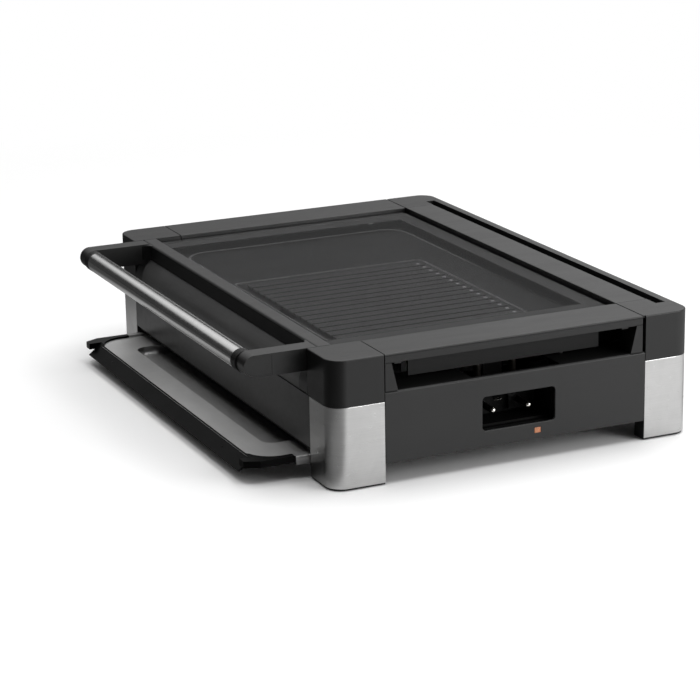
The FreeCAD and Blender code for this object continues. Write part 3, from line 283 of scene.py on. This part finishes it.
def pins(name):
    """Contacts: bright metal only at the tips, the shafts near black and dull."""
    g = G(name)
    co = g.coords()
    hair = g.noise(g.scaled(co, 0.02, 1.0, 1.0), 2200.0, 3.0, 0.6)
    grain = g.noise(co, 1500.0, 3.0, 0.6)
    sep = g.n("ShaderNodeSeparateXYZ")
    g.l(co, sep.inputs[0])
    tip = g.ramp(sep.outputs[0], 0.2548, 0.2562, 0.0, 1.0)
    m = g.principled(g.mixc(g.ramp(hair, 0.3, 0.7, 0.0, 1.0), rgb(0.75, 0.73, 0.68),
                            rgb(0.92, 0.89, 0.83)), g.ramp(hair, 0.3, 0.7, 0.16, 0.26), 1.0,
                     g.bump(hair, 0.03, 0.00004))
    d = g.principled(g.mixc(g.ramp(grain, 0.3, 0.7, 0.0, 1.0), rgb(0.003), rgb(0.006)),
                     g.ramp(grain, 0.3, 0.7, 0.45, 0.6), 0.0, g.bump(grain, 0.2, 0.00005))
    d.inputs["Specular IOR Level"].default_value = 0.3
    mix = g.n("ShaderNodeMixShader")
    g.l(tip, mix.inputs[0])
    g.l(d.outputs[0], mix.inputs[1])
    g.l(m.outputs[0], mix.inputs[2])
    return g.out(mix.outputs[0])


M["pin"] = pins("contact_pins")
M["screw"] = brushed("zinc_plating", 0.6, 0.3, "xy", (1.0, 0.99, 0.94))


def outline(g, x, y, box, r, half, soft):
    """Mask of a thin line along a rectangle with rounded corners, seen from above."""
    cx, cy = (box[0] + box[1]) / 2, (box[2] + box[3]) / 2
    hx, hy = (box[1] - box[0]) / 2 - r, (box[3] - box[2]) / 2 - r
    qx = g.math("SUBTRACT", g.math("ABSOLUTE", g.math("SUBTRACT", x, cx)), hx)
    qy = g.math("SUBTRACT", g.math("ABSOLUTE", g.math("SUBTRACT", y, cy)), hy)
    ox, oy = g.math("MAXIMUM", qx, 0.0), g.math("MAXIMUM", qy, 0.0)
    far = g.math("SQRT", g.math("ADD", g.math("MULTIPLY", ox, ox), g.math("MULTIPLY", oy, oy)))
    near = g.math("MINIMUM", g.math("MAXIMUM", qx, qy), 0.0)
    d = g.math("ABSOLUTE", g.math("SUBTRACT", g.math("ADD", far, near), r))
    return g.ramp(d, half, half + soft, 1.0, 0.0)


def coating(name, lo=0.010, hi=0.018, rough=0.34, painted_highlights=False):
    """Non-stick coating: near black, faint speckle, soft sheen, a few wiped streaks."""
    g = G(name)
    co = g.coords()
    fine = g.noise(co, 1500.0, 3.0, 0.6)
    cloud = g.noise(co, 12.0, 5.0, 0.6, 0.5)
    spot = g.ramp(g.noise(co, 1100.0, 1.0, 0.5), 0.68, 0.76, 0.0, 0.3)
    col = g.mixc(g.ramp(cloud, 0.3, 0.7, 0.0, 1.0), rgb(lo), rgb(hi))
    col = g.mixc(spot, col, rgb(hi * 3.0))
    r = g.ramp(cloud, 0.25, 0.75, rough - 0.04, rough + 0.05)
    if painted_highlights:
        # painted highlights: the rib tops are made lighter, and thin light lines run along the
        # steps round the two fields, fading towards the right
        sep = g.n("ShaderNodeSeparateXYZ")
        g.l(co, sep.inputs[0])
        x, y, z = sep.outputs[0], sep.outputs[1], sep.outputs[2]
        top = g.math("MULTIPLY", g.ramp(z, 0.1062, 0.1069, 0.0, 0.75),
                     g.ramp(g.noise(co, 60.0, 4.0, 0.6), 0.25, 0.6, 0.5, 1.0))
        col = g.mixc(top, col, rgb(0.075))
        a = outline(g, x, y, (-0.0584, 0.181, SY - 0.139, SY + 0.067), 0.007, 0.0007, 0.0006)
        b = outline(g, x, y, (-0.190, 0.184, SY - 0.142, SY + 0.105), 0.025, 0.0007, 0.0006)
        b = g.math("MULTIPLY", b, g.ramp(x, -0.10, 0.05, 1.0, 0.15))
        line = g.math("MULTIPLY", g.math("MAXIMUM", a, b),
                      g.ramp(g.noise(co, 90.0, 3.0, 0.6), 0.3, 0.6, 0.6, 1.0))
        col = g.mixc(line, col, rgb(0.30))
    p = g.principled(col, r, 0.0, g.bump(fine, 0.18, 0.00005))
    p.inputs["Specular IOR Level"].default_value = 0.34
    return g.out(p.outputs[0])


# the plate's coating carries painted highlights on the rib tops and the step edges
M["plate"] = coating("nonstick_coating", painted_highlights=True)
# pale coating for the rib-end studs: painted glints
M["tips"] = coating("painted_glint_coating", 0.55, 0.70, 0.22)


def glass(name):
    """Dark tinted pane: clear on both faces, its tint taken up in the sheet."""
    g = G(name)
    co = g.coords()
    film = g.ramp(g.noise(co, 14.0, 4.0, 0.6, 0.7), 0.35, 0.8, 0.004, 0.010)
    p = g.principled(rgb(0.66, 0.66, 0.665), film, 0.0)
    p.inputs["Transmission Weight"].default_value = 1.0
    p.inputs["IOR"].default_value = 1.5
    wave = g.bump(g.noise(co, 5.0, 2.0, 0.5), 0.004, 0.0002)
    g.l(wave, p.inputs["Normal"])
    tr = g.n("ShaderNodeBsdfTransparent")
    tr.inputs["Color"].default_value = rgb(0.5)
    lp = g.n("ShaderNodeLightPath")
    mix = g.n("ShaderNodeMixShader")
    g.l(lp.outputs["Is Shadow Ray"], mix.inputs[0])
    g.l(p.outputs[0], mix.inputs[1])
    g.l(tr.outputs[0], mix.inputs[2])
    # ground and blackened edges
    edge = g.principled(g.mixc(film, rgb(0.006), rgb(0.012)), 0.5, 0.0)
    sep = g.n("ShaderNodeSeparateXYZ")
    g.l(g.n("ShaderNodeNewGeometry").outputs["True Normal"], sep.inputs[0])
    side = g.ramp(g.math("ABSOLUTE", sep.outputs[2]), 0.3, 0.6, 1.0, 0.0)
    # black printed border on the lower face, over the rim of the plate
    at = g.n("ShaderNodeSeparateXYZ")
    g.l(co, at.inputs[0])
    band = g.math("MAXIMUM", g.ramp(g.math("ABSOLUTE", at.outputs[0]), 0.1935, 0.1950, 0.0, 1.0),
                  g.ramp(at.outputs[1], 0.1410, 0.1420, 0.0, 1.0))
    band = g.math("MULTIPLY", band, g.ramp(at.outputs[2], 0.1128, 0.1131, 1.0, 0.0))
    printed = g.principled(g.mixc(film, rgb(0.052), rgb(0.062)), 0.4, 0.0)
    sheet = g.n("ShaderNodeMixShader")
    g.l(band, sheet.inputs[0])
    g.l(mix.outputs[0], sheet.inputs[1])
    g.l(printed.outputs[0], sheet.inputs[2])
    whole = g.n("ShaderNodeMixShader")
    g.l(side, whole.inputs[0])
    g.l(sheet.outputs[0], whole.inputs[1])
    g.l(edge.outputs[0], whole.inputs[2])
    return g.out(whole.outputs[0])


M["glass"] = glass("tinted_glass")


def amber(name):
    g = G(name)
    co = g.coords()
    n = g.noise(co, 900.0, 3.0, 0.6)
    col = g.mixc(g.ramp(n, 0.3, 0.7, 0.0, 1.0), rgb(0.42, 0.155, 0.075), rgb(0.60, 0.27, 0.14))
    p = g.principled(col, 0.28, 0.0, g.bump(n, 0.1, 0.00004))
    p.inputs["Subsurface Weight"].default_value = 0.3
    p.inputs["Subsurface Scale"].default_value = 0.001
    return g.out(p.outputs[0])


M["lamp"] = amber("amber_lens")


def board(name):
    g = G(name)
    co = g.coords()
    n = g.noise(co, 700.0, 3.0, 0.6)
    col = g.mixc(g.ramp(n, 0.4, 0.6, 0.0, 1.0), rgb(0.02, 0.12, 0.04), rgb(0.03, 0.2, 0.07))
    p = g.principled(col, 0.3, 0.0, g.bump(n, 0.2, 0.00005))
    return g.out(p.outputs[0])


M["board"] = board("lacquered_board")

USE = {
    "foot_pads": "rubber", "lid_bumpers": "rubber", "leg_screws": "screw",
    "grip_screws": "screw", "handle_screws": "screw", "fascia_screws": "screw",
    "side_panel_right": "panel", "side_panel_left": "panel", "rear_panel": "bar",
    "front_panel": "front", "front_strip": "strip", "strip_end_right": "bar",
    "strip_end_left": "bar", "wiring_cover_right": "tub", "wiring_cover_left": "tub", "rear_bar": "bar", "lid_front_bar": "lid_bar",
    "housing_tub": "tub", "tray_guide_right": "tub", "tray_guide_left": "tub",
    "heat_reflector": "alu", "indicator_lens": "lamp", "indicator_board": "board",
    "plate_switch": "switch", "grill_plate": "plate", "heating_element": "heater",
    "terminal_bracket": "bracket", "side_grip_right": "grip", "side_grip_left": "grip",
    "terminal_block": "terminal", "terminal_pins": "pin", "earth_contact": "pin",
    "lid_glass": "glass", "handle_arm_right": "arm", "handle_arm_left": "arm",
    "arm_cap_right": "arm", "arm_cap_left": "arm", "handle_ring_right": "ring",
    "handle_ring_left": "ring", "handle_tube": "tube", "drip_tray": "tray",
    "tray_fascia": "trim",
}
for name, ob in NODES.items():
    key = USE.get(name)
    if key is None:
        key = "block" if name.startswith("corner_block") else \
            "leg" if name.startswith("leg_core") else "sleeve"
    ob.data.materials.clear()
    ob.data.materials.append(M[key])


# ------------------------------------------------------------------ CAD nodes' edges
def soften(ob, width, segs=2, angle=32.0):
    w = ob.modifiers.new("weld", "WELD")
    w.merge_threshold = 0.000005
    if width:
        b = ob.modifiers.new("edge", "BEVEL")
        b.width = width
        b.segments = segs
        b.limit_method = "ANGLE"
        b.angle_limit = math.radians(angle)
        b.use_clamp_overlap = True
        b.harden_normals = False
    n = ob.modifiers.new("normals", "WEIGHTED_NORMAL")
    n.keep_sharp = True
    n.weight = 50


FINE = {"lid_glass": 0.0003, "terminal_pins": 0.0, "heating_element": 0.0,
        "handle_tube": 0.0002, "handle_ring_right": 0.0, "handle_ring_left": 0.0,
        "leg_screws": 0.0, "grip_screws": 0.0, "handle_screws": 0.0, "fascia_screws": 0.0,
        "indicator_board": 0.0, "drip_tray": 0.0, "heat_reflector": 0.0,
        "front_strip": 0.0, "strip_end_right": 0.0, "strip_end_left": 0.0,
        "tray_fascia": 0.0003}
for name, ob in NODES.items():
    wide = name.startswith(("corner_block", "side_grip", "rear_bar"))
    soften(ob, FINE.get(name, 0.0008 if wide else 0.0004))


# ------------------------------------------------------------------ small studs at the ribs' ends, pale as painted glints
def rib_tips():
    bm = bmesh.new()
    n, rings = 16, 4
    for k in range(15):
        cx, cy = -0.0331 + 0.0146 * k, SY + 0.0524
        r = 0.0022 + random.uniform(-0.00005, 0.00005)
        rows = []
        for j in range(rings):
            a = math.pi / 2 * j / rings
            rows.append([bm.verts.new((cx + r * math.cos(a) * math.cos(2 * math.pi * i / n),
                                       cy + r * math.cos(a) * math.sin(2 * math.pi * i / n),
                                       0.10694 + 0.0007 * math.sin(a))) for i in range(n)])
        tip = bm.verts.new((cx, cy, 0.10764))
        base = bm.verts.new((cx, cy, 0.10694))
        for j in range(rings - 1):
            for i in range(n):
                m = (i + 1) % n
                bm.faces.new((rows[j][i], rows[j][m], rows[j + 1][m], rows[j + 1][i]))
        for i in range(n):
            m = (i + 1) % n
            bm.faces.new((rows[-1][i], rows[-1][m], tip))
            bm.faces.new((rows[0][m], rows[0][i], base))
    for f in bm.faces:
        f.smooth = True
    me = bpy.data.meshes.new("rib_tips")
    bm.to_mesh(me)
    bm.free()
    ob = bpy.data.objects.new("rib_tips", me)
    SC.collection.objects.link(ob)
    me.materials.append(M["tips"])
    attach(ob, "plate")


rib_tips()


# ------------------------------------------------------------------ stage and light
def floor():
    """Pale floor. What the object mirrors of it carries painted shade and painted light,
    darker towards the front and left, as black flags beside the table would make it."""
    bm = bmesh.new()
    bmesh.ops.create_grid(bm, x_segments=8, y_segments=8, size=30.0)
    me = bpy.data.meshes.new("floor")
    bm.to_mesh(me)
    bm.free()
    ob = bpy.data.objects.new("floor", me)
    SC.collection.objects.link(ob)
    g = G("pale_floor")
    co = g.coords()
    n = g.noise(co, 1.2, 3.0, 0.5)
    cam = g.n("ShaderNodeLightPath").outputs["Is Camera Ray"]
    col = g.mixc(g.ramp(n, 0.3, 0.7, 0.0, 1.0), rgb(0.87), rgb(0.89))
    sep = g.n("ShaderNodeSeparateXYZ")
    g.l(co, sep.inputs[0])
    x, y = sep.outputs[0], sep.outputs[1]
    # lit part: beyond a line that leaves the right front corner
    side = g.math("SUBTRACT", y, g.math("MULTIPLY", g.math("SUBTRACT", x, 0.262), 0.22))
    lit = g.ramp(g.math("ADD", side, 0.172), -0.012, 0.016, 0.0, 1.0)
    right = g.ramp(x, 0.20, 0.27, 0.0, 1.0)
    lit = g.math("MULTIPLY", lit, right)
    back = g.ramp(y, 0.15, 0.5, 0.0, 0.7)
    lit = g.math("MAXIMUM", lit, back)
    # on the left: lit near the object, dark further out
    near = g.math("MULTIPLY", g.ramp(x, -0.50, -0.30, 0.0, 0.32), g.ramp(y, -0.9, -0.2, 0.3, 1.0))
    near = g.math("MULTIPLY", near, g.ramp(x, -0.20, 0.08, 1.0, 0.14))
    # a painted pool of light in front of the right corner
    patch = g.math("MULTIPLY", g.ramp(x, 0.20, 0.30, 0.0, 0.16), g.ramp(y, -0.40, -0.30, 0.0, 1.0))
    near = g.math("MAXIMUM", near, patch)
    val = g.math("MAXIMUM", g.math("MULTIPLY", lit, 0.66), g.math("ADD", near, 0.045))
    comb = g.n("ShaderNodeCombineColor")
    for i in range(3):
        g.l(val, comb.inputs[i])
    p = g.principled(g.mixc(cam, comb.outputs[0], col), 0.75)
    p.inputs["Specular IOR Level"].default_value = 0.2
    # far out the floor runs into the white backdrop
    d = g.n("ShaderNodeVectorMath", operation="LENGTH")
    g.l(co, d.inputs[0])
    far = g.math("MULTIPLY", cam, g.ramp(d.outputs["Value"], 0.55, 1.35, 0.0, 1.0))
    em = g.n("ShaderNodeEmission")
    em.inputs["Color"].default_value = rgb(1.0)
    mix = g.n("ShaderNodeMixShader")
    g.l(far, mix.inputs[0])
    g.l(p.outputs[0], mix.inputs[1])
    g.l(em.outputs[0], mix.inputs[2])
    me.materials.append(g.out(mix.outputs[0]))


floor()


def area(name, loc, target, sx, sy, power, color=(1, 1, 1), spread=180.0):
    li = bpy.data.lights.new(name, "AREA")
    li.shape = "RECTANGLE"
    li.size, li.size_y = sx, sy
    li.energy = power
    li.color = color
    li.spread = math.radians(spread)
    ob = bpy.data.objects.new(name, li)
    ob.location = loc
    d = Vector(target) - Vector(loc)
    ob.rotation_euler = d.to_track_quat("-Z", "Y").to_euler()
    SC.collection.objects.link(ob)
    return ob


area("top_softbox", (0.1, 0.3, 2.6), (0, 0, 0), 2.4, 2.4, 66.0)
area("right_softbox", (2.3, 1.7, 0.9), (0, 0, 0.05), 1.5, 1.5, 40.0)


def world():
    """Studio round the object: a wide bright bank above and behind on the left, a
    softer one on the right, dark along the horizon and at the front."""
    g = G("studio", world=True)
    tc = g.n("ShaderNodeTexCoord").outputs["Generated"]
    sep = g.n("ShaderNodeSeparateXYZ")
    g.l(tc, sep.inputs[0])
    x, y, z = sep.outputs[0], sep.outputs[1], sep.outputs[2]
    left = g.ramp(x, -0.15, -0.65, 0.0, 1.0)
    front = g.math("ADD", g.ramp(y, -0.55, 0.05, 0.30, 0.75), g.ramp(y, 0.20, 0.55, 0.0, 1.2))
    bank = g.math("MULTIPLY", left, g.ramp(z, 0.315, 0.40, 0.0, 1.25))
    bank = g.math("MULTIPLY", bank, front)
    low = g.math("MULTIPLY", left, g.ramp(y, -0.25, 0.25, 0.04, 0.085))
    right = g.math("MULTIPLY", g.ramp(x, 0.25, 0.75, 0.0, 1.0), g.ramp(y, -0.10, 0.18, 0.06, 0.68))
    right = g.math("MULTIPLY", right, g.ramp(z, 0.95, 0.3, 0.3, 1.0))
    top = g.ramp(z, 0.55, 0.95, 0.0, 0.55)
    rear = g.math("MULTIPLY", g.ramp(y, 0.3, 0.8, 0.0, 0.8), g.ramp(x, -0.6, -0.3, 0.3, 1.0))
    # the white backdrop shows low down behind on the left
    drop = g.math("MULTIPLY", g.ramp(y, 0.36, 0.50, 0.0, 0.65), g.ramp(z, 0.25, 0.18, 0.0, 1.0))
    drop = g.math("MULTIPLY", left, drop)
    val = g.math("MAXIMUM", bank, low)
    val = g.math("MAXIMUM", val, right)
    val = g.math("MAXIMUM", val, top)
    val = g.math("MAXIMUM", val, rear)
    val = g.math("MAXIMUM", val, drop)
    val = g.math("MAXIMUM", val, 0.045)
    bg = g.n("ShaderNodeBackground")
    comb = g.n("ShaderNodeCombineColor")
    for i in range(3):
        g.l(val, comb.inputs[i])
    g.l(comb.outputs[0], bg.inputs["Color"])
    bg.inputs["Strength"].default_value = 1.0
    white = g.n("ShaderNodeBackground")
    white.inputs["Color"].default_value = rgb(1.0)
    mix = g.n("ShaderNodeMixShader")
    g.l(g.n("ShaderNodeLightPath").outputs["Is Camera Ray"], mix.inputs[0])
    g.l(bg.outputs[0], mix.inputs[1])
    g.l(white.outputs[0], mix.inputs[2])
    o = g.n("ShaderNodeOutputWorld")
    g.l(mix.outputs[0], o.inputs["Surface"])
    SC.world = g.owner


world()

bpy.context.view_layer.update()
